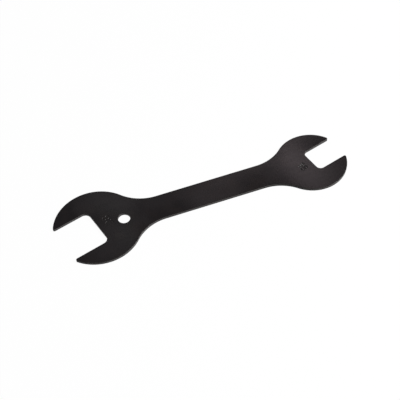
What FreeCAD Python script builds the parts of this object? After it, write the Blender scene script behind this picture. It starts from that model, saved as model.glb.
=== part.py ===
import FreeCAD
import Part
import math
import os
import Sketcher

# A double-ended cone wrench, stamped from one flat steel plate.
# Frame: X runs along the wrench from the large head to the small one, and Z is up through the plate.
# The origin lies on the underside, midway between the two head centres.
# All lengths are in millimetres, and the angle is in degrees.

SIZES = {
    "head_spacing": 150.0,
    "large_head_radius": 29.0,
    "small_head_radius": 24.0,
    "neck_radius": 29.0,
    "handle_width": 19.0,
    "handle_offset": 0.5,
    "plate_thickness": 2.0,
    "large_nut_flats": 28.0,
    "small_nut_flats": 18.0,
    "jaw_clearance": 0.1,
    "jaw_angle": 15.0,
    "large_jaw_setback": 0.4,
    "small_jaw_setback": 0.1,
    "large_root_radius": 4.0,
    "small_root_radius": 3.3,
    "tip_radius": 1.0,
    "hole_diameter": 8.0,
    "hole_distance": 18.0,
    "edge_roll": 0.3,
    "deburr": 0.15,
}

NODE = "cone_wrench"

# How far a cutting sketch runs past the edge that it opens
OVERRUN = 2.0

# How close a found corner must lie to its worked-out place
SAME_PLACE = 0.01

START = 1
END = 2
CENTRE = 3
ORIGIN = (-1, 1)


def add_sheet(document):
    """Write each driving dimension to a cell of its own, with its name as the alias."""
    sheet = document.addObject("Spreadsheet::Sheet", "Sizes")
    for row, (name, value) in enumerate(SIZES.items(), start=1):
        sheet.set(f"A{row}", name.replace("_", " "))
        sheet.set(f"B{row}", str(value))
        sheet.setAlias(f"B{row}", name)
    document.recompute()
    return sheet


def base_plane(body, role):
    """Return one of the body's own origin planes."""
    return next(item for item in body.Origin.OriginFeatures if item.Role == role)


def add_sketch(body, name):
    """Start a sketch on the plate's underside."""
    sketch = body.newObject("Sketcher::SketchObject", name)
    sketch.AttachmentSupport = [(base_plane(body, "XY_Plane"), "")]
    sketch.MapMode = "FlatFace"
    return sketch


def dimension(sketch, name, expression, kind, *where):
    """Add a named dimension to a sketch and bind it to the sheet."""
    index = sketch.addConstraint(Sketcher.Constraint(kind, *where))
    sketch.renameConstraint(index, name)
    sketch.setExpression(f"Constraints.{name}", expression)


def point(x, y):
    """Return a point of a sketch."""
    return FreeCAD.Vector(x, y, 0)


def add_line(sketch, start, end):
    """Add a straight edge to a sketch and return its number."""
    return sketch.addGeometry(Part.LineSegment(start, end), False)


def add_arc(sketch, centre, start, end):
    """Add the arc that runs anticlockwise from start to end, and return its number."""
    first = start - centre
    last = end - centre
    circle = Part.Circle(centre, FreeCAD.Vector(0, 0, 1), first.Length)
    first_angle = math.atan2(first.y, first.x)
    last_angle = math.atan2(last.y, last.x)
    return sketch.addGeometry(Part.ArcOfCircle(circle, first_angle, last_angle), False)


def neck_points(head, head_radius, neck_radius, edge_y, towards):
    """Place one neck arc, tangent to a head circle and to a straight edge of the handle.

    It returns the arc's centre, its point on the head and its point on the handle's edge.
    The value towards is 1 where the handle lies on the head's +X side, and -1 on the other.
    """
    side = math.copysign(1, edge_y)
    centre_y = edge_y + side * neck_radius
    reach = math.sqrt((head_radius + neck_radius) ** 2 - centre_y**2)
    centre = point(head.x + towards * reach, centre_y)
    share = head_radius / (head_radius + neck_radius)
    return centre, head + (centre - head) * share, point(centre.x, edge_y)


def add_blank(body, sheet):
    """Stamp the blank: two round heads, joined by a straight handle through four neck arcs."""
    spacing = sheet.head_spacing
    top = sheet.handle_offset + sheet.handle_width / 2
    bottom = sheet.handle_offset - sheet.handle_width / 2
    large = point(-spacing / 2, 0)
    small = point(spacing / 2, 0)

    neck_sizes = {
        "large_top": (large, sheet.large_head_radius, top, 1),
        "large_bottom": (large, sheet.large_head_radius, bottom, 1),
        "small_top": (small, sheet.small_head_radius, top, -1),
        "small_bottom": (small, sheet.small_head_radius, bottom, -1),
    }
    necks = {}
    for name, (head, radius, edge_y, towards) in neck_sizes.items():
        necks[name] = neck_points(head, radius, sheet.neck_radius, edge_y, towards)
    centre_a, head_a, edge_a = necks["large_top"]
    centre_b, head_b, edge_b = necks["large_bottom"]
    centre_c, head_c, edge_c = necks["small_bottom"]
    centre_d, head_d, edge_d = necks["small_top"]

    sketch = add_sketch(body, "BlankOutline")
    large_head = add_arc(sketch, large, head_a, head_b)
    neck_b = add_arc(sketch, centre_b, edge_b, head_b)
    bottom_edge = add_line(sketch, edge_b, edge_c)
    neck_c = add_arc(sketch, centre_c, head_c, edge_c)
    small_head = add_arc(sketch, small, head_c, head_d)
    neck_d = add_arc(sketch, centre_d, edge_d, head_d)
    top_edge = add_line(sketch, edge_d, edge_a)
    neck_a = add_arc(sketch, centre_a, head_a, edge_a)

    joints = (
        (large_head, END, neck_b, END),
        (neck_b, START, bottom_edge, START),
        (bottom_edge, END, neck_c, END),
        (neck_c, START, small_head, START),
        (small_head, END, neck_d, END),
        (neck_d, START, top_edge, START),
        (top_edge, END, neck_a, END),
        (neck_a, START, large_head, START),
    )
    for joint in joints:
        sketch.addConstraint(Sketcher.Constraint("Tangent", *joint))
    for edge in (top_edge, bottom_edge):
        sketch.addConstraint(Sketcher.Constraint("Horizontal", edge))
    for neck in (neck_b, neck_c, neck_d):
        sketch.addConstraint(Sketcher.Constraint("Equal", neck_a, neck))
    for head in (large_head, small_head):
        sketch.addConstraint(Sketcher.Constraint("PointOnObject", head, CENTRE, -1))

    half = "Sizes.head_spacing / 2"
    top_height = "Sizes.handle_width / 2 + Sizes.handle_offset"
    bottom_depth = "Sizes.handle_width / 2 - Sizes.handle_offset"
    dimension(sketch, "large_radius", "Sizes.large_head_radius", "Radius", large_head, sheet.large_head_radius)
    dimension(sketch, "small_radius", "Sizes.small_head_radius", "Radius", small_head, sheet.small_head_radius)
    dimension(sketch, "neck_radius", "Sizes.neck_radius", "Radius", neck_a, sheet.neck_radius)
    dimension(sketch, "large_place", half, "DistanceX", large_head, CENTRE, *ORIGIN, spacing / 2)
    dimension(sketch, "small_place", half, "DistanceX", *ORIGIN, small_head, CENTRE, spacing / 2)
    dimension(sketch, "top_height", top_height, "DistanceY", *ORIGIN, top_edge, START, top)
    dimension(sketch, "bottom_depth", bottom_depth, "DistanceY", bottom_edge, START, *ORIGIN, -bottom)

    blank = body.newObject("PartDesign::Pad", "Blank")
    blank.Profile = sketch
    blank.setExpression("Length", "Sizes.plate_thickness")
    return blank


def add_jaw(body, sheet, size, head_x, turn):
    """Cut one jaw gap: two parallel flats, a straight base and two rounded root corners.

    The sketch has its origin at the head's centre and its X axis along the jaw, out of the mouth.
    """
    half_gap = (sheet.getPropertyByName(f"{size}_nut_flats") + sheet.jaw_clearance) / 2
    setback = sheet.getPropertyByName(f"{size}_jaw_setback")
    root = sheet.getPropertyByName(f"{size}_root_radius")
    mouth = sheet.getPropertyByName(f"{size}_head_radius") + OVERRUN

    sketch = add_sketch(body, f"{size.capitalize()}JawGap")
    sketch.setExpression(".AttachmentOffset.Base.x", head_x)
    sketch.setExpression(".AttachmentOffset.Rotation.Angle", turn)

    upper_flat = add_line(sketch, point(mouth, half_gap), point(root - setback, half_gap))
    upper_root = add_arc(
        sketch,
        point(root - setback, half_gap - root),
        point(root - setback, half_gap),
        point(-setback, half_gap - root),
    )
    base = add_line(sketch, point(-setback, half_gap - root), point(-setback, root - half_gap))
    lower_root = add_arc(
        sketch,
        point(root - setback, root - half_gap),
        point(-setback, root - half_gap),
        point(root - setback, -half_gap),
    )
    lower_flat = add_line(sketch, point(root - setback, -half_gap), point(mouth, -half_gap))
    opening = add_line(sketch, point(mouth, -half_gap), point(mouth, half_gap))

    tangents = (
        (upper_flat, END, upper_root, START),
        (upper_root, END, base, START),
        (base, END, lower_root, START),
        (lower_root, END, lower_flat, START),
    )
    for joint in tangents:
        sketch.addConstraint(Sketcher.Constraint("Tangent", *joint))
    sketch.addConstraint(Sketcher.Constraint("Coincident", lower_flat, END, opening, START))
    sketch.addConstraint(Sketcher.Constraint("Coincident", opening, END, upper_flat, START))
    sketch.addConstraint(Sketcher.Constraint("Vertical", base))
    sketch.addConstraint(Sketcher.Constraint("Horizontal", upper_flat))
    sketch.addConstraint(Sketcher.Constraint("Horizontal", lower_flat))
    sketch.addConstraint(Sketcher.Constraint("Equal", upper_root, lower_root))
    sketch.addConstraint(Sketcher.Constraint("Symmetric", opening, START, opening, END, -1))

    gap = f"Sizes.{size}_nut_flats + Sizes.jaw_clearance"
    reach = f"Sizes.{size}_head_radius + {OVERRUN}"
    dimension(sketch, "gap", gap, "DistanceY", opening, START, opening, END, 2 * half_gap)
    dimension(sketch, "root", f"Sizes.{size}_root_radius", "Radius", upper_root, root)
    dimension(sketch, "setback", f"Sizes.{size}_jaw_setback", "DistanceX", base, START, *ORIGIN, setback)
    dimension(sketch, "mouth", reach, "DistanceX", *ORIGIN, opening, START, mouth)

    jaw = body.newObject("PartDesign::Pocket", f"{size.capitalize()}Jaw")
    jaw.Profile = sketch
    jaw.Type = "ThroughAll"
    jaw.Reversed = True
    return jaw


def add_hanging_hole(body, sheet):
    """Punch the round hanging hole between the large jaw and the handle."""
    place = sheet.hole_distance - sheet.head_spacing / 2
    circle = Part.Circle(point(place, 0), FreeCAD.Vector(0, 0, 1), sheet.hole_diameter / 2)
    sketch = add_sketch(body, "HangingHoleOutline")
    rim = sketch.addGeometry(circle, False)
    sketch.addConstraint(Sketcher.Constraint("PointOnObject", rim, CENTRE, -1))
    from_middle = "Sizes.head_spacing / 2 - Sizes.hole_distance"
    dimension(sketch, "place", from_middle, "DistanceX", rim, CENTRE, *ORIGIN, -place)
    dimension(sketch, "diameter", "Sizes.hole_diameter", "Diameter", rim, sheet.hole_diameter)

    hole = body.newObject("PartDesign::Pocket", "HangingHole")
    hole.Profile = sketch
    hole.Type = "ThroughAll"
    hole.Reversed = True
    return hole


def tip_places(sheet):
    """Return the four corners in plan where a jaw flat runs out through the rim of its head."""
    places = []
    for size, side, turn in (("large", -1, 180), ("small", 1, 0)):
        half_gap = (sheet.getPropertyByName(f"{size}_nut_flats") + sheet.jaw_clearance) / 2
        radius = sheet.getPropertyByName(f"{size}_head_radius")
        reach = math.sqrt(radius**2 - half_gap**2)
        rotation = FreeCAD.Rotation(FreeCAD.Vector(0, 0, 1), turn + sheet.jaw_angle)
        head = point(side * sheet.head_spacing / 2, 0)
        for across in (-half_gap, half_gap):
            places.append(head + rotation.multVec(point(reach, across)))
    return places


def upright_edges(shape, places):
    """Return the names of the edges that stand on the given places in plan."""
    names = []
    for number, edge in enumerate(shape.Edges, start=1):
        ends = [FreeCAD.Vector(vertex.X, vertex.Y, 0) for vertex in edge.Vertexes]
        stands = len(ends) == 2 and ends[0].distanceToPoint(ends[1]) < SAME_PLACE
        if stands and any(ends[0].distanceToPoint(place) < SAME_PLACE for place in places):
            names.append(f"Edge{number}")
    return names


def level_face(shape, height):
    """Return the name of the flat face that lies level at the given height."""
    for number, face in enumerate(shape.Faces, start=1):
        box = face.BoundBox
        if max(abs(box.ZMin - height), abs(box.ZMax - height)) < SAME_PLACE:
            return f"Face{number}"
    raise RuntimeError(f"no level face at {height}")


def add_edge_feature(body, kind, name, base, parts, size, expression):
    """Round or chamfer the named edges, or all edges of the named faces, of the feature before."""
    feature = body.newObject(f"PartDesign::{kind}", name)
    feature.Base = (base, parts)
    feature.setExpression(size, expression)
    body.Document.recompute()
    return feature


def add_wrench(document, sheet):
    """Build the wrench as the real one is made: blank, jaws, hole, tips and edges.

    The punch rolls the edges of the top face over, and those of the underside are deburred.
    """
    body = document.addObject("PartDesign::Body", "ConeWrench")
    body.Label = NODE
    body.Placement = FreeCAD.Placement()
    add_blank(body, sheet)
    add_jaw(body, sheet, "large", "-Sizes.head_spacing / 2", "(180 + Sizes.jaw_angle) * 1deg")
    add_jaw(body, sheet, "small", "Sizes.head_spacing / 2", "Sizes.jaw_angle * 1deg")
    hole = add_hanging_hole(body, sheet)
    document.recompute()

    tips = upright_edges(hole.Shape, tip_places(sheet))
    rounded = add_edge_feature(body, "Fillet", "TipRounding", hole, tips, "Radius", "Sizes.tip_radius")
    top = [level_face(rounded.Shape, sheet.plate_thickness)]
    rolled = add_edge_feature(body, "Fillet", "EdgeRoll", rounded, top, "Radius", "Sizes.edge_roll")
    underside = [level_face(rolled.Shape, 0)]
    add_edge_feature(body, "Chamfer", "Deburr", rolled, underside, "Size", "Sizes.deburr")
    return body


def check_document(document, bodies):
    """Stop if a feature failed, removed nothing or left an invalid shape."""
    for item in document.Objects:
        if "Invalid" in item.State or "Error" in item.State:
            raise RuntimeError(f"{item.Name} failed: {item.State}")
    for body in bodies:
        if body.Shape.isNull() or not body.Shape.isValid() or len(body.Shape.Solids) != 1:
            raise RuntimeError(f"{body.Label} isn't one valid solid")
        steps = [item for item in body.Group if item.isDerivedFrom("PartDesign::Feature")]
        for before, after in zip(steps, steps[1:]):
            if after.Shape.Volume >= before.Shape.Volume:
                raise RuntimeError(f"{after.Name} removes no metal")


def main():
    document = FreeCAD.newDocument("ConeWrench")
    sheet = add_sheet(document)
    bodies = [add_wrench(document, sheet)]
    check_document(document, bodies)
    os.makedirs("parts", exist_ok=True)
    for body in bodies:
        body.Shape.exportStep(os.path.join("parts", f"{body.Label}.step"))
        print(body.Label, "volume", round(body.Shape.Volume, 2), "mm3")


main()
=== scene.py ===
"""The looks of a double-ended cone wrench: a stamped, blackened steel plate on a pale studio floor.

The plate's rim is built from arcs and straight stretches, and its faces are filled inside that rim. A
Geometry Nodes tree presses the plain jaw sizes into the top face along the strokes of each figure.
"""

import logging
import math
from dataclasses import dataclass, field
from enum import Enum
from typing import NamedTuple

import bpy
import numpy as np
from mathutils import Matrix, Vector
from mathutils.geometry import delaunay_2d_cdt

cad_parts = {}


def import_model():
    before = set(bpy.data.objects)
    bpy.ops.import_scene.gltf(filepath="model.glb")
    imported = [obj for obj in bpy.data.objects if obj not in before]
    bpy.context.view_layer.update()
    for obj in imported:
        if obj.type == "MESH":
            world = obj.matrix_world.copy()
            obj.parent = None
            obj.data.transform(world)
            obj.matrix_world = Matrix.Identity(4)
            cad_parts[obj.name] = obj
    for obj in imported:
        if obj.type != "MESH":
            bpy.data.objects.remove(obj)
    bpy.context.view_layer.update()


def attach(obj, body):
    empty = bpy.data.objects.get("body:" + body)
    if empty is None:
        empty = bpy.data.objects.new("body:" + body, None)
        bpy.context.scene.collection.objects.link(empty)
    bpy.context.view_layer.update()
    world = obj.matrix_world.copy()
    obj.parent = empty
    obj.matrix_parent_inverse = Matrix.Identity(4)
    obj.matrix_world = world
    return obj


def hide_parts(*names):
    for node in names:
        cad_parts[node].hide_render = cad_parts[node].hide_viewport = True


log = logging.getLogger("cone_wrench")

MM = 0.001
NODE = "cone_wrench"
BODY = "root"
EDGE_WEAR = "edge_wear"
# Share of the wall's grey at each point; it fades near the wall's foot, which is painted shade.
SHEARED = "sheared"
STAMPED = "stamped"

Triple = tuple[float, float, float]
Socket = bpy.types.NodeSocket
Number = float | Socket
Colour = Triple | Socket


def add_object(name: str, data: bpy.types.ID) -> bpy.types.Object:
    """Put a mesh, a lamp or a camera into the scene.

    Args:
        name: The object's name.
        data: What it shows.

    Returns:
        The object.
    """
    made = bpy.data.objects.new(name, data)
    bpy.context.scene.collection.objects.link(made)
    return made


class Turn(Enum):
    """Which way an arc of the rim turns, walking with the metal on the left."""

    LEFT = 1
    RIGHT = -1


@dataclass(frozen=True)
class JawSizes:
    """One jaw gap and the round head that it is cut into, in metres and radians.

    Attributes:
        head_x: Place of the head's centre along the wrench.
        head_radius: Radius of the head.
        gap: Distance between the two flats.
        setback: How far the jaw's base lies behind the head's centre.
        root_radius: Radius of the two inner corners.
        facing: Direction in which the mouth opens, seen from above.
    """

    head_x: float
    head_radius: float
    gap: float
    setback: float
    root_radius: float
    facing: float

    @property
    def head(self) -> Vector:
        """The head's centre in plan."""
        return Vector((self.head_x, 0.0))

    @property
    def outwards(self) -> Vector:
        """Unit vector along the jaw, out of its mouth."""
        return Vector((math.cos(self.facing), math.sin(self.facing)))

    @property
    def leftwards(self) -> Vector:
        """Unit vector across the jaw, to the left of its mouth."""
        return Vector((-math.sin(self.facing), math.cos(self.facing)))

    def place(self, along: float, across: float) -> Vector:
        """The place in plan that lies so far towards the mouth, and so far left, of the head's centre."""
        return self.head + self.outwards * along + self.leftwards * across

    def on_rim(self, towards: Vector) -> Vector:
        """The point of the head's round rim that lies towards a place."""
        return self.head + (towards - self.head).normalized() * self.head_radius


@dataclass(frozen=True)
class WrenchSizes:
    """The wrench's own sizes, in metres and radians.

    The large jaw opens away from the handle and a little towards -Y, and the small one, at the other
    end, a little towards +Y.
    """

    large_jaw: JawSizes = JawSizes(
        head_x=-75.0 * MM,
        head_radius=29.0 * MM,
        gap=28.1 * MM,
        setback=0.4 * MM,
        root_radius=4.0 * MM,
        facing=math.pi + math.radians(15.0),
    )
    small_jaw: JawSizes = JawSizes(
        head_x=75.0 * MM,
        head_radius=24.0 * MM,
        gap=18.1 * MM,
        setback=0.1 * MM,
        root_radius=3.3 * MM,
        facing=math.radians(15.0),
    )
    neck_radius: float = 29.0 * MM
    tip_radius: float = 1.0 * MM
    handle_width: float = 19.0 * MM
    handle_offset: float = 0.5 * MM
    hole_radius: float = 4.0 * MM
    hole_distance: float = 18.0 * MM

    @property
    def hole_centre(self) -> Vector:
        """The hanging hole's centre in plan."""
        return self.large_jaw.head + Vector((self.hole_distance, 0.0))


@dataclass
class RimPath:
    """A closed rim in plan, walked with the metal on its left.

    Attributes:
        step: Longest stretch between two neighbouring points.
        pen: Where the next stretch begins.
        finest_turn: Largest turn between two neighbouring points of an arc.
        points: Places of the rim so far.
        normals: Unit vectors out of the metal at those places.
    """

    step: float
    pen: Vector
    finest_turn: float = math.radians(4.0)
    points: list[Vector] = field(default_factory=list)
    normals: list[Vector] = field(default_factory=list)

    def arc(self, centre: Vector, end: Vector, turn: Turn) -> None:
        """Add an arc from the pen up to its end, which the next stretch begins with.

        Args:
            centre: The arc's centre.
            end: Where it ends.
            turn: Which way it turns.
        """
        first, last = self.pen - centre, end - centre
        radius = first.length
        angle = math.atan2(first.y, first.x)
        sweep = (math.atan2(last.y, last.x) - angle) * turn.value % math.tau
        count = max(2, math.ceil(sweep / self.finest_turn), math.ceil(sweep * radius / self.step))
        for index in range(count):
            here = angle + turn.value * sweep * index / count
            spoke = Vector((math.cos(here), math.sin(here)))
            self.points.append(centre + spoke * radius)
            self.normals.append(spoke * turn.value)
        self.pen = end

    def line(self, end: Vector) -> None:
        """Add a straight stretch from the pen up to its end.

        Args:
            end: Where it ends.
        """
        count = max(1, math.ceil((end - self.pen).length / self.step))
        along = (end - self.pen).normalized()
        for index in range(count):
            self.points.append(self.pen.lerp(end, index / count))
            self.normals.append(Vector((along.y, -along.x)))
        self.pen = end

    def inset(self, distance: float) -> list[Vector]:
        """The rim's points, moved into the metal by a distance."""
        return [point - normal * distance for point, normal in zip(self.points, self.normals)]


class Neck(NamedTuple):
    """A neck arc: its centre, and where it meets its head and the handle's edge."""

    centre: Vector
    on_head: Vector
    on_edge: Vector


@dataclass(frozen=True)
class Rims:
    """Draws the wrench's outer rim and its hole from the sizes.

    Attributes:
        sizes: The wrench's sizes.
        step: Longest stretch between two points of a rim.
    """

    sizes: WrenchSizes
    step: float = 0.8 * MM

    def neck(self, jaw: JawSizes, edge_y: float, towards: float) -> Neck:
        """Place a neck arc, tangent to a head and to a straight edge of the handle.

        Args:
            jaw: The jaw whose head the neck runs into.
            edge_y: Height of the handle's edge in plan.
            towards: 1 where the handle lies on the head's +X side, and -1 on the other.

        Returns:
            The neck.
        """
        radius = self.sizes.neck_radius
        centre_y = edge_y + math.copysign(radius, edge_y)
        reach = math.sqrt((jaw.head_radius + radius) ** 2 - centre_y**2)
        centre = Vector((jaw.head_x + towards * reach, centre_y))
        return Neck(centre, jaw.on_rim(centre), Vector((centre.x, edge_y)))

    def head(self, path: RimPath, jaw: JawSizes, end: Vector) -> None:
        """Add one head with its jaw, from neck to neck.

        Args:
            path: The rim, which has just reached the head.
            jaw: The jaw and its head.
            end: Where the rim runs off the head.
        """
        at, tip, root, half = jaw.place, self.sizes.tip_radius, jaw.root_radius, jaw.gap / 2
        tip_along = math.sqrt((jaw.head_radius - tip) ** 2 - (half + tip) ** 2)
        root_along = root - jaw.setback
        first_tip, last_tip = at(tip_along, -half - tip), at(tip_along, half + tip)

        path.arc(jaw.head, jaw.on_rim(first_tip), Turn.LEFT)
        path.arc(first_tip, at(tip_along, -half), Turn.LEFT)
        path.line(at(root_along, -half))
        path.arc(at(root_along, root - half), at(-jaw.setback, root - half), Turn.RIGHT)
        path.line(at(-jaw.setback, half - root))
        path.arc(at(root_along, half - root), at(root_along, half), Turn.RIGHT)
        path.line(at(tip_along, half))
        path.arc(last_tip, jaw.on_rim(last_tip), Turn.LEFT)
        path.arc(jaw.head, end, Turn.LEFT)

    def outer(self) -> RimPath:
        """Draw the outer rim: both heads, the four necks and the handle's two edges.

        Returns:
            The closed rim.
        """
        top = self.sizes.handle_offset + self.sizes.handle_width / 2
        bottom = self.sizes.handle_offset - self.sizes.handle_width / 2
        large, small = self.sizes.large_jaw, self.sizes.small_jaw
        large_top, large_bottom = self.neck(large, top, 1), self.neck(large, bottom, 1)
        small_top, small_bottom = self.neck(small, top, -1), self.neck(small, bottom, -1)

        path = RimPath(self.step, large_top.on_head)
        for jaw, leaving, reaching in ((large, large_bottom, small_bottom), (small, small_top, large_top)):
            self.head(path, jaw, leaving.on_head)
            path.arc(leaving.centre, leaving.on_edge, Turn.RIGHT)
            path.line(reaching.on_edge)
            path.arc(reaching.centre, reaching.on_head, Turn.RIGHT)
        return path

    def hole(self) -> RimPath:
        """Draw the hanging hole, walked clockwise so that the metal lies on the left.

        Returns:
            The closed rim of the hole.
        """
        centre = self.sizes.hole_centre
        across = Vector((self.sizes.hole_radius, 0.0))
        path = RimPath(self.step, centre + across)
        path.arc(centre, centre - across, Turn.RIGHT)
        path.arc(centre, centre + across, Turn.RIGHT)
        return path


class Station(NamedTuple):
    """One line of points round a rim: how far in and how high it lies, how worn and how sheared it is."""

    inset: float
    height: float
    worn: float
    sheared: float


@dataclass(frozen=True)
class EdgeSection:
    """The plate's edge in section: a rolled upper corner, a sheared wall and a deburred lower corner.

    Attributes:
        thickness: Thickness of the plate.
        roll: Radius of the upper corner.
        deburr: Width of the slope at the lower corner.
        torn: Height below which the wall darkens towards its foot, painted shade where the wall meets the
            floor.
        foot_shade: How much of the wall's grey shows just above that height, at it and at the foot; the
            lower two values are painted shade at the wall's foot.
        slope_wear: How worn the lower slope is.
        roll_steps: How many facets the upper corner has.
        hold: Width of the narrow strips that keep the flats flat under smooth shading.
    """

    thickness: float = 2.0 * MM
    roll: float = 0.3 * MM
    deburr: float = 0.15 * MM
    torn: float = 0.8 * MM
    foot_shade: Triple = (0.9, 0.4, 0.1)
    slope_wear: float = 0.2
    roll_steps: int = 6
    hold: float = 0.04 * MM

    def stations(self) -> list[Station]:
        """List the section's points, from the upper flat to the lower one.

        Returns:
            The stations in order.
        """
        found = [Station(self.roll + self.hold, self.thickness, 0.0, 0.0)]
        for index in range(self.roll_steps + 1):
            share = index / self.roll_steps
            angle = share * math.pi / 2
            found.append(
                Station(
                    inset=self.roll * (1 - math.sin(angle)),
                    height=self.thickness - self.roll * (1 - math.cos(angle)),
                    worn=math.sin(share * math.pi) ** 0.5,
                    sheared=share**3,
                )
            )
        # The wall's grey fades out towards its foot: painted shade where the wall meets the floor.
        above_foot_shade, in_foot_shade, at_foot = self.foot_shade
        found += [
            Station(0.0, self.thickness - self.roll - self.hold, 0.0, 1.0),
            Station(0.0, self.torn + self.deburr, 0.0, above_foot_shade),
            Station(0.0, self.torn, 0.0, in_foot_shade),
            Station(0.0, self.deburr + self.hold, 0.0, at_foot),
            Station(0.0, self.deburr, self.slope_wear, 0.0),
            Station(self.deburr, 0.0, self.slope_wear, 0.0),
            Station(self.deburr + self.hold, 0.0, 0.0, 0.0),
        ]
        return found


class Figure(Enum):
    """A stamped figure."""

    ONE = "1"
    TWO = "2"
    EIGHT = "8"


@dataclass(frozen=True)
class FigureShape:
    """The middle lines of a figure's strokes, round the figure's centre and with its top towards +Y.

    Attributes:
        height: Height from the lowest to the highest middle line.
        one_width: Width of the one, as a share of the height.
        one_flag: How far its flag comes down, in half widths.
        two_width: Width of the two, as a share of the height.
        two_bowl: Half the height of its bowl, in half widths.
        two_start: Direction in which its bowl begins, in degrees.
        two_end: Direction in which its bowl ends.
        eight_width: Width of the eight, as a share of the height.
        eight_top: Half the height of its upper loop, as a share of the height.
        eight_waist: Width of its upper loop, as a share of the lower loop's.
        turn_steps: How many stretches a full turn has.
    """

    height: float = 4.5 * MM
    one_width: float = 0.24
    one_flag: float = 1.3
    two_width: float = 0.58
    two_bowl: float = 0.95
    two_start: float = 165.0
    two_end: float = -32.0
    eight_width: float = 0.6
    eight_top: float = 0.235
    eight_waist: float = 0.86
    turn_steps: int = 48

    def width(self, figure: Figure) -> float:
        """Width between a figure's outermost middle lines."""
        shares = {Figure.ONE: self.one_width, Figure.TWO: self.two_width, Figure.EIGHT: self.eight_width}
        return self.height * shares[figure]

    def bow(
        self, centre_y: float, radius_x: float, radius_y: float, first: float, last: float
    ) -> list[Vector]:
        """Draw part of an upright oval.

        Args:
            centre_y: Height of its centre.
            radius_x: Half its width.
            radius_y: Half its height.
            first: Direction of its first point, in degrees.
            last: Direction of its last point, in degrees.

        Returns:
            The oval's points.
        """
        count = max(2, round(abs(last - first) / 360 * self.turn_steps))
        angles = (math.radians(first + (last - first) * index / count) for index in range(count + 1))
        return [Vector((radius_x * math.cos(a), centre_y + radius_y * math.sin(a))) for a in angles]

    def strokes(self, figure: Figure) -> list[list[Vector]]:
        """Draw a figure.

        Args:
            figure: Which figure.

        Returns:
            One list of points for each stroke.
        """
        half, side = self.height / 2, self.width(figure) / 2
        if figure is Figure.ONE:
            flag = Vector((-side, half - self.one_flag * side))
            return [[flag, Vector((side, half)), Vector((side, -half))]]
        if figure is Figure.TWO:
            rise = self.two_bowl * side
            bowl = self.bow(half - rise, side, rise, self.two_start, self.two_end)
            return [bowl + [Vector((-side, -half)), Vector((side, -half))]]
        upper = self.eight_top * self.height
        lower = half - upper
        return [
            self.bow(half - upper, self.eight_waist * side, upper, -90, 270),
            self.bow(lower - half, side, lower, 90, 450),
        ]


@dataclass(frozen=True)
class StampedNumber:
    """A plain jaw size pressed into a head, read with its top towards the mouth.

    Attributes:
        figures: The number's figures in reading order.
        jaw: The jaw that it is stamped beside.
        along: Place of its middle, from the head's centre towards the mouth.
        across: Place of its middle, to the left of the jaw's middle line.
        shape: The form of its figures.
        space: Clear width between neighbouring middle lines.
        margin: Width of finely divided metal round the strokes.
        fineness: Distance between neighbouring points of that metal.
    """

    figures: tuple[Figure, ...]
    jaw: JawSizes
    along: float
    across: float
    shape: FigureShape = FigureShape()
    space: float = 1.5 * MM
    margin: float = 0.7 * MM
    fineness: float = 0.1 * MM

    @property
    def length(self) -> float:
        """Width of the whole number between its outermost middle lines."""
        widths = [self.shape.width(figure) for figure in self.figures]
        return sum(widths) + self.space * (len(widths) - 1)

    def onto_head(self, point: Vector) -> Vector:
        """Turn a point of the upright number into a place in plan."""
        return self.jaw.place(self.along + point.y, self.across - point.x)

    def strokes(self) -> list[list[Vector]]:
        """Draw the number where it is stamped.

        Returns:
            One list of places in plan for each stroke.
        """
        found = []
        pen = -self.length / 2
        for figure in self.figures:
            width = self.shape.width(figure)
            middle = Vector((pen + width / 2, 0.0))
            found += [[self.onto_head(middle + p) for p in stroke] for stroke in self.shape.strokes(figure)]
            pen += width + self.space
        return found

    def fine_points(self) -> list[Vector]:
        """Spread points over the metal that takes the stamp.

        Returns:
            Their places in plan.
        """
        reach_x, reach_y = self.length / 2 + self.margin, self.shape.height / 2 + self.margin
        count_x, count_y = round(2 * reach_x / self.fineness), round(2 * reach_y / self.fineness)
        return [
            self.onto_head(Vector((reach_x * (2 * i / count_x - 1), reach_y * (2 * j / count_y - 1))))
            for i in range(count_x + 1)
            for j in range(count_y + 1)
        ]


def rgba(colour: Colour) -> tuple[float, ...] | Socket:
    """Give a plain colour its fourth number, and pass a socket on."""
    return colour if isinstance(colour, Socket) else (*colour, 1.0)


def grey(value: float) -> tuple[float, float, float, float]:
    """Give a plain grey its four numbers."""
    return value, value, value, 1.0


class Pattern(NamedTuple):
    """A noise pattern.

    Attributes:
        scale: Roughly how many patches it has in a metre.
        detail: How many finer layers it has.
        squeeze: How much narrower it is along each axis.
        shift: Where it lies.
    """

    scale: float
    detail: float
    squeeze: Triple = (1.0, 1.0, 1.0)
    shift: Triple = (0.0, 0.0, 0.0)


class Band(NamedTuple):
    """A smooth step: the two limits that a number runs between, and what it becomes at each."""

    low: float
    high: float
    start: float
    end: float


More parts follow.
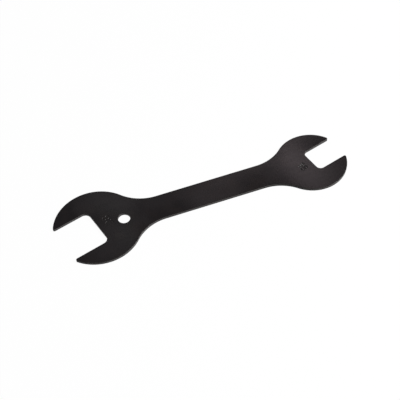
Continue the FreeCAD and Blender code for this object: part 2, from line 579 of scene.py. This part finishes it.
class NodeBoard:
    """Adds nodes to a tree, joins them and sets them out in rows.

    Attributes:
        tree: The tree that it works on.
        count: How many nodes it has added.
    """

    COLUMN = 190
    ROW = 160
    ROWS = 4
    # Places of a Mix node's colour sockets, because its other sockets have the same names.
    FIRST_COLOUR = 6
    SECOND_COLOUR = 7
    MIXED_COLOUR = 2

    def __init__(self, tree: bpy.types.NodeTree) -> None:
        """Start on an empty tree.

        Args:
            tree: The tree to fill.
        """
        self.tree = tree
        self.count = 0
        tree.nodes.clear()

    def add(self, kind: str, label: str, inputs: dict | None = None, **settings: object) -> bpy.types.Node:
        """Add one node.

        Args:
            kind: The node's type.
            label: What it does, in plain words.
            inputs: Values or sockets for its inputs, by name or place.
            **settings: Values of its own properties.

        Returns:
            The new node.
        """
        node = self.tree.nodes.new(kind)
        node.label = label
        node.location = (self.count * self.COLUMN, -(self.count % self.ROWS) * self.ROW)
        self.count += 1
        for name, value in settings.items():
            setattr(node, name, value)
        for name, value in (inputs or {}).items():
            socket = node.inputs[name]
            if isinstance(value, Socket):
                self.tree.links.new(value, socket)
            else:
                socket.default_value = value
        return node

    def math(self, label: str, operation: str, first: Number, second: Number) -> Socket:
        """Add a sum of two numbers or sockets, and give the socket of its result."""
        node = self.add("ShaderNodeMath", label, {0: first, 1: second}, operation=operation)
        return node.outputs[0]

    def step(self, label: str, value: Number, band: tuple, smooth: bool = True) -> Socket:
        """Turn a range of numbers into another one.

        Args:
            label: What it does.
            value: The number or socket to turn.
            band: The two limits, and what the number becomes at each.
            smooth: Whether it eases in and out, and isn't a plain slope.

        Returns:
            The result's socket.
        """
        inputs = {"Value": value, **dict(zip(("From Min", "From Max", "To Min", "To Max"), band))}
        kind = "SMOOTHSTEP" if smooth else "LINEAR"
        return self.add("ShaderNodeMapRange", label, inputs, interpolation_type=kind).outputs["Result"]

    def attribute(self, label: str, name: str) -> Socket:
        """Read a number that the mesh holds for each point."""
        return self.add("ShaderNodeAttribute", label, attribute_name=name).outputs["Fac"]

    def noise(self, label: str, place: Socket, pattern: Pattern) -> Socket:
        """Add a noise pattern.

        Args:
            label: What it shows.
            place: Where it is read.
            pattern: The pattern.

        Returns:
            The socket of a number that runs from 0 to 1.
        """
        inputs = {"Vector": place, "Location": pattern.shift, "Scale": pattern.squeeze}
        lying = self.add("ShaderNodeMapping", "How the pattern lies", inputs).outputs["Vector"]
        inputs = {"Vector": lying, "Scale": pattern.scale, "Detail": pattern.detail}
        return self.add("ShaderNodeTexNoise", label, inputs).outputs["Fac"]

    def mix(self, label: str, share: Number, first: Colour, second: Colour) -> Socket:
        """Mix two colours or sockets, with a share of the second one."""
        inputs = {"Factor": share, self.FIRST_COLOUR: rgba(first), self.SECOND_COLOUR: rgba(second)}
        return self.add("ShaderNodeMix", label, inputs, data_type="RGBA").outputs[self.MIXED_COLOUR]


class SurfaceReadings(NamedTuple):
    """What the finish is worked out from at each point of the plate, each from 0 to 1."""

    worn: Socket
    sheared: Socket
    stamped: Socket
    clouds: Socket
    patches: Socket
    grain: Socket
    dents: Socket
    rolled: Socket
    torn: Socket


@dataclass(frozen=True)
class BlackOxide:
    """Satin black oxide on tumbled steel, worn a little at the edges, over a greyer sheared wall.

    Attributes:
        face: Colour of the blackened faces.
        warm_face: Colour of their browner patches.
        pale_face: Colour where the black is thinner.
        wall: Colour of the sheared wall.
        worn_steel_and_flank_highlight: Colour of the worn corners, and of the painted highlight on the
            stamps' flanks.
        pit: Colour at the bottom of the stamps, darker than the face: painted shade in the recesses.
        pit_shade_share: How much of that painted shade shows there.
        flank_highlight_share: How strongly the stamps' flanks are painted lighter, a painted highlight.
        gloss: How strongly the surface mirrors straight on.
        face_roughness: Roughness of the blackest and the palest areas.
        streaks: What the rolling marks add to it.
        wall_roughness: What the sheared wall adds to it.
        pit_roughness: What the bottom of the stamps adds to it.
        clouds: Pattern of the wide patches.
        patches: Pattern of the browner patches.
        grain: Pattern of the oxide's grain.
        dents: Pattern of the dents of tumbling.
        rolling: Pattern of the rolling marks, along the plate.
        shear: Pattern of the lines up the sheared wall.
        browner: Where in its pattern the face is browner.
        thinner: Where in its pattern the black is thinner.
        wear: How much wear the dents let through.
        tears: How much of the wall's colour the shear lines let through.
        grain_height: Height of the grain, where the dents have 1.
        tear_height: Height of the shear lines.
        rolling_height: Height of the rolling marks.
        relief_strength: Strength of the whole relief.
        relief_depth: Depth of the whole relief.
    """

    face: Triple = (0.0032, 0.0016, 0.0024)
    warm_face: Triple = (0.0066, 0.0038, 0.0040)
    pale_face: Triple = (0.0105, 0.0082, 0.0090)
    wall: Triple = (0.128, 0.120, 0.118)
    worn_steel_and_flank_highlight: Triple = (0.030, 0.028, 0.027)
    pit: Triple = (0.002, 0.002, 0.002)
    pit_shade_share: float = 0.2
    flank_highlight_share: float = 3.2
    gloss: float = 0.105
    face_roughness: Band = Band(0.3, 0.7, 0.11, 0.16)
    streaks: Band = Band(0.35, 0.7, -0.01, 0.01)
    wall_roughness: float = 0.37
    pit_roughness: float = 0.1
    clouds: Pattern = Pattern(34.0, 4.0, (-1.0, 1.0, 1.0), (0.216, -0.616, 1.5))
    patches: Pattern = Pattern(90.0, 3.0)
    grain: Pattern = Pattern(2600.0, 2.0)
    dents: Pattern = Pattern(620.0, 3.0)
    rolling: Pattern = Pattern(42.0, 5.0, (1.0, 26.0, 1.0))
    shear: Pattern = Pattern(3200.0, 2.0, (1.0, 1.0, 0.12))
    browner: Band = Band(0.42, 0.68, 0.0, 1.0)
    thinner: Band = Band(0.42, 0.66, 0.0, 0.85)
    wear: Band = Band(0.4, 0.7, 0.1, 0.6)
    tears: Band = Band(0.3, 0.7, 0.75, 1.0)
    grain_height: float = 0.35
    tear_height: float = 3.0
    rolling_height: float = 0.25
    relief_strength: float = 0.13
    relief_depth: float = 0.03 * MM

    def readings(self, board: NodeBoard) -> SurfaceReadings:
        """Read the plate's attributes and the noise patterns.

        Args:
            board: The tree to add them to.

        Returns:
            The readings.
        """
        place = board.add("ShaderNodeTexCoord", "Place on the wrench").outputs["Object"]
        return SurfaceReadings(
            worn=board.attribute("Worn corners", EDGE_WEAR),
            sheared=board.attribute("Sheared wall", SHEARED),
            stamped=board.attribute("Bottom of the stamps", STAMPED),
            clouds=board.noise("Uneven blackening", place, self.clouds),
            patches=board.noise("Browner patches", place, self.patches),
            grain=board.noise("Grain of the oxide", place, self.grain),
            dents=board.noise("Dents of tumbling", place, self.dents),
            rolled=board.noise("Rolling marks", place, self.rolling),
            torn=board.noise("Shear lines", place, self.shear),
        )

    def colour(self, board: NodeBoard, read: SurfaceReadings) -> Socket:
        """Mix the colour of the faces, the wall, the worn corners and the stamps, with painted shade in the
        stamps and painted highlights on their flanks.

        Args:
            board: The tree to add it to.
            read: The surface's readings.

        Returns:
            The colour.
        """
        brown = board.step("Where it is browner", read.patches, self.browner)
        thin = board.step("Where the black is thinner", read.clouds, self.thinner)
        patchy = board.step("Patchy wear", read.dents, self.wear)
        worn = board.math("Worn in places", "MULTIPLY", read.worn, patchy)
        tear = board.step("Dark and pale tears", read.torn, self.tears)
        walled = board.math("Tears on the wall", "MULTIPLY", read.sheared, tear)
        # Painted shade: the stamps darken towards their bottoms.
        pit = board.math("Dark stamps", "MULTIPLY", read.stamped, self.pit_shade_share)
        # Painted highlight: the stamps' flanks are painted lighter, all round each stroke.
        above = board.math("Share above the floor", "SUBTRACT", 1.0, read.stamped)
        flank = board.math("Flanks of the stamps", "MULTIPLY", read.stamped, above)
        flank = board.math("Painted flank highlights", "MULTIPLY", flank, self.flank_highlight_share)
        layers = (
            ("With browner patches", brown, self.warm_face),
            ("With paler areas", thin, self.pale_face),
            ("With worn corners", worn, self.worn_steel_and_flank_highlight),
            ("With the wall", walled, self.wall),
            ("With dark stamps", pit, self.pit),
            ("With painted flank highlights", flank, self.worn_steel_and_flank_highlight),
        )
        colour: Colour = self.face
        for label, share, layer in layers:
            colour = board.mix(label, share, colour, layer)
        return colour

    def roughness(self, board: NodeBoard, read: SurfaceReadings) -> Socket:
        """Work out how dull the surface is.

        Args:
            board: The tree to add it to.
            read: The surface's readings.

        Returns:
            The roughness.
        """
        rough = board.step("Uneven gloss", read.clouds, self.face_roughness)
        streak = board.step("Duller streaks", read.rolled, self.streaks)
        rough = board.math("Streaked gloss", "ADD", rough, streak)
        wall = board.math("Wall", "MULTIPLY", read.sheared, self.wall_roughness)
        rough = board.math("Duller wall", "ADD", rough, wall)
        pit = board.math("Stamps", "MULTIPLY", read.stamped, self.pit_roughness)
        return board.math("Duller stamps", "ADD", rough, pit)

    def relief(self, board: NodeBoard, read: SurfaceReadings) -> Socket:
        """Raise the grain, the dents, the shear lines and the rolling marks.

        Args:
            board: The tree to add it to.
            read: The surface's readings.

        Returns:
            The surface's direction.
        """
        grain = board.math("Fine grain", "MULTIPLY", read.grain, self.grain_height)
        relief = board.math("Grain and dents", "ADD", grain, read.dents)
        tear = board.math("Tears on the wall", "MULTIPLY", read.torn, read.sheared)
        tear = board.math("Depth of the tears", "MULTIPLY", tear, self.tear_height)
        relief = board.math("Grain, dents and tears", "ADD", relief, tear)
        marks = board.math("Shallow marks", "MULTIPLY", read.rolled, self.rolling_height)
        relief = board.math("With rolling marks", "ADD", relief, marks)
        inputs = {"Height": relief, "Strength": self.relief_strength, "Distance": self.relief_depth}
        return board.add("ShaderNodeBump", "Relief", inputs).outputs["Normal"]

    def material(self) -> bpy.types.Material:
        """Build the finish.

        Returns:
            The material.
        """
        material = bpy.data.materials.new("black_oxide_steel")
        material.use_nodes = True
        board = NodeBoard(material.node_tree)
        read = self.readings(board)
        shader = board.add(
            "ShaderNodeBsdfPrincipled",
            "Black oxide",
            {
                "Base Color": self.colour(board, read),
                "Roughness": self.roughness(board, read),
                "Normal": self.relief(board, read),
                "Specular IOR Level": self.gloss,
            },
        )
        board.add("ShaderNodeOutputMaterial", "Surface", {"Surface": shader.outputs["BSDF"]})
        return material


@dataclass(frozen=True)
class StampTree:
    """A Geometry Nodes tree that presses grooves into the top face along the strokes of the numbers.

    Attributes:
        groove_width: Width of a groove at the surface.
        groove_floor: Width of its flat bottom.
        groove_depth: Depth of a groove.
        slack: How far below the top face a point still counts as on it.
    """

    groove_width: float = 0.95 * MM
    groove_floor: float = 0.25 * MM
    groove_depth: float = 0.28 * MM
    slack: float = 0.001 * MM

    def build(self) -> bpy.types.GeometryNodeTree:
        """Build the tree.

        Returns:
            The tree, with named inputs for the strokes, the sizes and the finish.
        """
        tree = bpy.data.node_groups.new("stamped_numbers", "GeometryNodeTree")
        board = NodeBoard(tree)
        sizes = dict.fromkeys(("Face Height", "Half Width", "Half Floor", "Depth"), "Float")
        kinds = {"Plate": "Geometry", "Strokes": "Object", **sizes, "Finish": "Material"}
        for name, kind in kinds.items():
            tree.interface.new_socket(name=name, in_out="INPUT", socket_type=f"NodeSocket{kind}")
        tree.interface.new_socket(name="Plate", in_out="OUTPUT", socket_type="NodeSocketGeometry")

        given = board.add("NodeGroupInput", "Given").outputs
        lines = board.add("GeometryNodeObjectInfo", "Strokes", {"Object": given["Strokes"]}).outputs
        edges = {0: lines["Geometry"]}
        near = board.add("GeometryNodeProximity", "Distance to a stroke", edges, target_element="EDGES")
        flank = (given["Half Floor"], given["Half Width"], 1.0, 0.0)
        pressed = board.step("Pressed share", near.outputs["Distance"], flank, smooth=False)
        position = board.add("GeometryNodeInputPosition", "Place").outputs["Position"]
        height = board.add("ShaderNodeSeparateXYZ", "Height", {"Vector": position}).outputs["Z"]
        face = board.math("Just under the face", "SUBTRACT", given["Face Height"], self.slack)
        on_face = board.math("On the top face", "GREATER_THAN", height, face)
        share = board.math("Pressed on the face", "MULTIPLY", pressed, on_face)
        drop = board.math("Drop", "MULTIPLY", share, given["Depth"])
        down = board.math("Downwards", "MULTIPLY", drop, -1.0)
        offset = board.add("ShaderNodeCombineXYZ", "Offset", {"Z": down}).outputs["Vector"]
        plate = given["Plate"]
        moves = (
            ("GeometryNodeStoreNamedAttribute", "Keep the share", {"Name": STAMPED, "Value": share}),
            ("GeometryNodeSetPosition", "Press", {"Offset": offset}),
            ("GeometryNodeRealizeInstances", "One mesh", {}),
            ("GeometryNodeSetMaterial", "Finish", {"Material": given["Finish"]}),
        )
        for kind, label, inputs in moves:
            plate = board.add(kind, label, {"Geometry": plate, **inputs}).outputs["Geometry"]
        board.add("NodeGroupOutput", "Result", {"Plate": plate})
        return tree

    def press(
        self,
        plate: bpy.types.Object,
        strokes: bpy.types.Object,
        face_height: float,
        finish: bpy.types.Material,
    ) -> None:
        """Press the strokes into a plate and leave it a plain mesh.

        Args:
            plate: The plate, whose mesh is changed.
            strokes: The strokes' middle lines, at the height of the face.
            face_height: Height of the top face.
            finish: The plate's material.
        """
        tree = self.build()
        values = {
            "Strokes": strokes,
            "Face Height": face_height,
            "Half Width": self.groove_width / 2,
            "Half Floor": self.groove_floor / 2,
            "Depth": self.groove_depth,
            "Finish": finish,
        }
        modifier = plate.modifiers.new("stamped_numbers", "NODES")
        modifier.node_group = tree
        for item in tree.interface.items_tree:
            if item.in_out == "INPUT" and item.name in values:
                modifier[item.identifier] = values[item.name]
        depsgraph = bpy.context.evaluated_depsgraph_get()
        pressed = bpy.data.meshes.new_from_object(plate.evaluated_get(depsgraph), depsgraph=depsgraph)
        plate.modifiers.remove(modifier)
        blank = plate.data
        plate.data = pressed
        bpy.data.meshes.remove(blank)
        pressed.name = plate.name


@dataclass
class WrenchPlate:
    """The wrench itself: one stamped plate with its jaws, its hanging hole and its two numbers.

    Attributes:
        sizes: Sizes of the outline.
        section: The edge in section.
        stamps: How deep and wide the numbers are.
        finish: The plate's finish.
        spread: How far from the middle the faces' inner points are looked for.
        coarse: Distance between them.
        clearance: Least distance between an inner point and a rim, as a share of coarse.
        joining: Distance below which two points of a face are one, in millimetres.
    """

    sizes: WrenchSizes = field(default_factory=WrenchSizes)
    section: EdgeSection = field(default_factory=EdgeSection)
    stamps: StampTree = field(default_factory=StampTree)
    finish: BlackOxide = field(default_factory=BlackOxide)
    spread: float = 150.0 * MM
    coarse: float = 3.0 * MM
    clearance: float = 0.5
    joining: float = 1e-7

    def numbers(self) -> list[StampedNumber]:
        """Place the two jaw sizes.

        Returns:
            The numbers.
        """
        large, small = self.sizes.large_jaw, self.sizes.small_jaw
        return [
            StampedNumber((Figure.TWO, Figure.EIGHT), large, along=-7.7 * MM, across=-0.2 * MM),
            StampedNumber((Figure.ONE, Figure.EIGHT), small, along=-7.6 * MM, across=-0.4 * MM),
        ]

    def clear_of_rims(self, points: np.ndarray, rims: list[list[Vector]], distance: float) -> np.ndarray:
        """Keep the points that lie inside the metal and not too near a rim.

        Args:
            points: Places in plan, one a row.
            rims: Closed rims, the outer one first.
            distance: Least distance to a point of a rim.

        Returns:
            The points that are kept.
        """
        inside = np.zeros(len(points), bool)
        near = np.zeros(len(points), bool)
        for rim in rims:
            ends = np.array(rim)
            starts = np.roll(ends, 1, axis=0)
            for (x0, y0), (x1, y1) in zip(starts, ends):
                if y0 != y1:
                    crosses = (y0 > points[:, 1]) != (y1 > points[:, 1])
                    inside ^= crosses & (points[:, 0] < (x1 - x0) * (points[:, 1] - y0) / (y1 - y0) + x0)
                near |= np.hypot(points[:, 0] - x1, points[:, 1] - y1) < distance
        return points[inside & ~near]

    def inner_points(self, rims: list[list[Vector]], fine: bool) -> list[Vector]:
        """Spread points over a face.

        Args:
            rims: Where the face ends, the outer rim first.
            fine: Whether the face takes the stamps.

        Returns:
            Places in plan.
        """
        lines = np.arange(-self.spread, self.spread, self.coarse)
        grid = np.array([(x + (j % 2) * self.coarse / 2, y) for j, y in enumerate(lines) for x in lines])
        grid = self.clear_of_rims(grid, rims, self.clearance * self.coarse)
        patches = [np.array(number.fine_points()) for number in self.numbers()] if fine else []
        for patch in patches:
            middle = patch.mean(axis=0)
            reach = np.hypot(*(patch.max(axis=0) - patch.min(axis=0))) / 2
            grid = grid[np.hypot(*(grid - middle).T) > reach]
        return [Vector(point) for point in np.concatenate([grid, *patches])]

    def fill(self, rims: list[list[Vector]], inner: list[Vector]) -> list[tuple[int, int, int]]:
        """Fill a face with triangles that point up.

        Args:
            rims: Where the face ends, the outer rim first.
            inner: Points inside it.

        Returns:
            Triangles of places in the list of all rims' points and then the inner points.
        """
        points = [point / MM for line in (*rims, inner) for point in line]
        edges, start = [], 0
        for rim in rims:
            edges += [(start + i, start + (i + 1) % len(rim)) for i in range(len(rim))]
            start += len(rim)
        inside_the_rim = 1
        result = delaunay_2d_cdt(points, edges, [], inside_the_rim, self.joining)
        places, _, faces, origins, _, _ = result
        hole = set(range(len(rims[0]), start))
        triangles = []
        for a, b, c in faces:
            clockwise = (places[b] - places[a]).cross(places[c] - places[a]) < 0
            corners = (a, c, b) if clockwise else (a, b, c)
            triangle = tuple(origins[corner][0] for corner in corners)
            if not hole.issuperset(triangle):
                triangles.append(triangle)
        return triangles

    def blank(self) -> bpy.types.Mesh:
        """Build the unstamped plate.

        Returns:
            Its closed mesh, with how worn and how sheared each point is.
        """
        stations = self.section.stations()
        rims = Rims(self.sizes)
        paths = [rims.outer(), rims.hole()]
        points, faces, worn, sheared = [], [], [], []
        ends: dict[int, list[list[int]]] = {0: [], len(stations) - 1: []}
        for path in paths:
            count, first = len(path.points), len(points)
            for row, station in enumerate(stations):
                if row in ends:
                    ends[row].append(list(range(len(points), len(points) + count)))
                points += [(p.x, p.y, station.height) for p in path.inset(station.inset)]
                worn += [station.worn] * count
                sheared += [station.sheared] * count
            for row in range(len(stations) - 1):
                above, below = first + row * count, first + (row + 1) * count
                for i in range(count):
                    j = (i + 1) % count
                    faces.append((above + i, below + i, below + j, above + j))
        for row, rings in ends.items():
            height = stations[row].height
            outline = [path.inset(stations[row].inset) for path in paths]
            inner = self.inner_points(outline, fine=row == 0)
            owners = [index for ring in rings for index in ring]
            owners += list(range(len(points), len(points) + len(inner)))
            points += [(p.x, p.y, height) for p in inner]
            worn += [0.0] * len(inner)
            sheared += [0.0] * len(inner)
            for a, b, c in self.fill(outline, inner):
                corners = (owners[a], owners[b], owners[c])
                faces.append(corners if row == 0 else corners[::-1])
        mesh = bpy.data.meshes.new(NODE)
        mesh.from_pydata(points, [], faces)
        for name, values in ((EDGE_WEAR, worn), (SHEARED, sheared)):
            mesh.attributes.new(name, "FLOAT", "POINT").data.foreach_set("value", values)
        mesh.shade_smooth()
        mesh.update()
        return mesh

    def stroke_lines(self) -> bpy.types.Object:
        """Lay the numbers' strokes on the top face as loose edges.

        Returns:
            An object that holds them.
        """
        points, edges = [], []
        for number in self.numbers():
            for stroke in number.strokes():
                edges += [(len(points) + i, len(points) + i + 1) for i in range(len(stroke) - 1)]
                points += [(p.x, p.y, self.section.thickness) for p in stroke]
        mesh = bpy.data.meshes.new("stroke_lines")
        mesh.from_pydata(points, edges, [])
        return add_object("stroke_lines", mesh)

    def build(self) -> bpy.types.Object:
        """Build, stamp and dress the wrench.

        Returns:
            The finished piece.
        """
        wrench = add_object("stamped_wrench", self.blank())
        lines = self.stroke_lines()
        self.stamps.press(wrench, lines, self.section.thickness, self.finish.material())
        strokes = lines.data
        bpy.data.objects.remove(lines)
        bpy.data.meshes.remove(strokes)
        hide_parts(NODE)
        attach(wrench, BODY)
        return wrench


@dataclass(frozen=True)
class PhotoCamera:
    """The camera, at the photograph's viewing angle.

    Attributes:
        azimuth: Turn about Z from straight in front.
        elevation: Height angle above the floor.
        roll: Turn about the line of sight.
        distance: Distance from the middle of the wrench.
        side_step: Sideways step after the turns.
        up_step: Upwards step after the turns.
        middle_y: How far towards +Y the point that it turns about lies.
        lens_mm: Focal length, in millimetres.
        sensor_mm: Width of the sensor, in millimetres.
        nearest: Distance below which nothing is seen.
        farthest: Distance beyond which nothing is seen.
    """

    azimuth: float = -0.293231
    elevation: float = 0.899829
    roll: float = -0.063953
    distance: float = 657.696 * MM
    side_step: float = -4.242 * MM
    up_step: float = -3.794 * MM
    middle_y: float = 0.5 * MM
    lens_mm: float = 89.52
    sensor_mm: float = 36.0
    nearest: float = 0.01
    farthest: float = 20.0

    def build(self) -> bpy.types.Object:
        """Create the camera and make it the scene's own.

        Returns:
            The camera.
        """
        data = bpy.data.cameras.new("photo_camera")
        data.lens = self.lens_mm
        data.sensor_width = self.sensor_mm
        data.clip_start = self.nearest
        data.clip_end = self.farthest
        camera = add_object("photo_camera", data)
        middle = Matrix.Translation((0.0, self.middle_y, 0.0))
        tilt = Matrix.Rotation(math.pi / 2 - self.elevation, 4, "X")
        turn = Matrix.Rotation(self.azimuth, 4, "Z") @ tilt @ Matrix.Rotation(self.roll, 4, "Z")
        step = Matrix.Translation((self.side_step, self.up_step, self.distance))
        camera.matrix_world = middle @ turn @ step
        bpy.context.scene.camera = camera
        return camera


@dataclass(frozen=True)
class SoftBox:
    """One soft lamp with a rectangular face.

    Attributes:
        name: The lamp's name.
        place: Where it stands.
        aim: The point that it faces.
        upright: Direction that its length follows, as far as its facing allows.
        width: Width of its face.
        length: Length of its face.
        watts: Its power.
        tint: Colour of its light.
    """

    name: str
    place: Triple
    aim: Triple
    upright: Triple
    width: float
    length: float
    watts: float
    tint: Triple = (1.0, 1.0, 1.0)

    def build(self) -> bpy.types.Object:
        """Create the lamp, turned to what it faces.

        Returns:
            The lamp.
        """
        data = bpy.data.lights.new(self.name, "AREA")
        data.shape = "RECTANGLE"
        data.size = self.width
        data.size_y = self.length
        data.energy = self.watts
        data.color = self.tint
        lamp = add_object(self.name, data)
        back = (Vector(self.place) - Vector(self.aim)).normalized()
        across = Vector(self.upright).cross(back).normalized()
        turn = Matrix((across, back.cross(across), back)).transposed().to_4x4()
        lamp.matrix_world = Matrix.Translation(self.place) @ turn
        return lamp


@dataclass(frozen=True)
class Studio:
    """A white sweep with soft light all round, a key lamp at the right and four small soft boxes behind.

    Attributes:
        floor_side: Length of the floor's side.
        floor_drop: How far the floor lies under the plate, so that the two don't flicker.
        floor_glow: Share of the floor that camera and mirror rays see as plain white.
        paper: How pale the floor looks.
        bounce: How pale the floor is where it lights the wrench from below.
        sky: Strength of the soft light all round.
        key: The lamp that most of the light comes from.
        strips: The small soft boxes whose reflections lie across the plate.
    """

    floor_side: float = 8.0
    floor_drop: float = 0.02 * MM
    floor_glow: float = 0.97
    paper: float = 0.98
    bounce: float = 0.1
    sky: float = 0.11
    key: SoftBox = SoftBox(
        name="key_lamp",
        place=(0.833, -0.389, 0.771),
        aim=(0.0, 0.0, 0.0),
        upright=(0.0, 0.0, 1.0),
        width=0.6,
        length=0.6,
        watts=19.8,
    )
    strips: tuple[SoftBox, ...] = (
        SoftBox(
            name="right_strip",
            place=(0.240, 0.347, 0.462),
            aim=(0.068, -0.003, 0.006),
            upright=(-0.611, 0.722, -0.324),
            width=0.03,
            length=0.07,
            watts=0.038,
            tint=(1.0, 0.84, 0.88),
        ),
        SoftBox(
            name="back_strip",
            place=(0.254, 0.378, 0.421),
            aim=(0.138, 0.020, -0.046),
            upright=(0.942, 0.108, -0.317),
            width=0.02,
            length=0.35,
            watts=0.06,
            tint=(1.0, 0.84, 0.87),
        ),
        SoftBox(
            name="left_strip",
            place=(-0.004, 0.390, 0.468),
            aim=(-0.061, 0.017, 0.002),
            upright=(-0.929, 0.336, -0.156),
            width=0.025,
            length=0.06,
            watts=0.008,
        ),
        SoftBox(
            name="low_strip",
            place=(-0.004, 0.341, 0.482),
            aim=(-0.062, -0.014, 0.002),
            upright=(-0.648, -0.573, 0.502),
            width=0.03,
            length=0.03,
            watts=0.005,
        ),
    )

    def seen_rays(self, board: NodeBoard) -> Socket:
        """Tell rays from the camera, a mirror or glass from rays that only carry light.

        Args:
            board: The tree to add the test to.

        Returns:
            1 for a ray that shows the background, and 0 for any other.
        """
        path = board.add("ShaderNodeLightPath", "Kind of ray").outputs
        seen = board.math("Camera or mirror", "MAXIMUM", path["Is Camera Ray"], path["Is Glossy Ray"])
        return board.math("Or glass", "MAXIMUM", seen, path["Is Transmission Ray"])

    def floor_finish(self) -> bpy.types.Material:
        """Build the floor's finish: white paper that still takes the wrench's shadow.

        Returns:
            The material.
        """
        material = bpy.data.materials.new("white_sweep")
        material.use_nodes = True
        board = NodeBoard(material.node_tree)
        seen = board.add("ShaderNodeBsdfDiffuse", "Paper as it looks", {"Color": grey(self.paper)})
        lit = board.add("ShaderNodeBsdfDiffuse", "Paper as it lights", {"Color": grey(self.bounce)})
        glow = board.add("ShaderNodeEmission", "Plain white", {"Color": grey(1.0), "Strength": 1.0})
        pale = board.add(
            "ShaderNodeMixShader",
            "Paper and glow",
            {0: self.floor_glow, 1: seen.outputs[0], 2: glow.outputs[0]},
        )
        mixed = board.add(
            "ShaderNodeMixShader",
            "What a ray finds",
            {0: self.seen_rays(board), 1: lit.outputs[0], 2: pale.outputs[0]},
        )
        board.add("ShaderNodeOutputMaterial", "Surface", {"Surface": mixed.outputs[0]})
        return material

    def floor(self) -> bpy.types.Object:
        """Lay the floor.

        Returns:
            The floor.
        """
        half = self.floor_side / 2
        square = ((-half, -half), (half, -half), (half, half), (-half, half))
        corners = [(x, y, -self.floor_drop) for x, y in square]
        mesh = bpy.data.meshes.new("studio_floor")
        mesh.from_pydata(corners, [], [(0, 1, 2, 3)])
        mesh.materials.append(self.floor_finish())
        floor = add_object("studio_floor", mesh)
        return floor

    def world(self) -> bpy.types.World:
        """Light the scene from all round.

        Returns:
            The world.
        """
        world = bpy.data.worlds.new("studio_light")
        world.use_nodes = True
        board = NodeBoard(world.node_tree)
        strength = board.math("White where it is seen", "MAXIMUM", self.seen_rays(board), self.sky)
        light = board.add("ShaderNodeBackground", "Soft light", {"Color": grey(1.0), "Strength": strength})
        board.add("ShaderNodeOutputWorld", "World", {"Surface": light.outputs["Background"]})
        bpy.context.scene.world = world
        return world

    def build(self) -> None:
        """Lay the floor and set the light."""
        self.floor()
        self.world()
        for lamp in (self.key, *self.strips):
            lamp.build()
        bpy.context.scene.view_settings.view_transform = "Standard"


def main() -> None:
    """Load the frame, build the wrench and set up the studio."""
    logging.basicConfig(level=logging.INFO, format="%(name)s: %(message)s")
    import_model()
    wrench = WrenchPlate().build()
    log.info("%s: %d points, %d faces", wrench.name, len(wrench.data.vertices), len(wrench.data.polygons))
    Studio().build()
    camera = PhotoCamera().build()
    log.info("%s: lens of %.2f mm", camera.name, camera.data.lens)


if __name__ == "__main__":
    main()
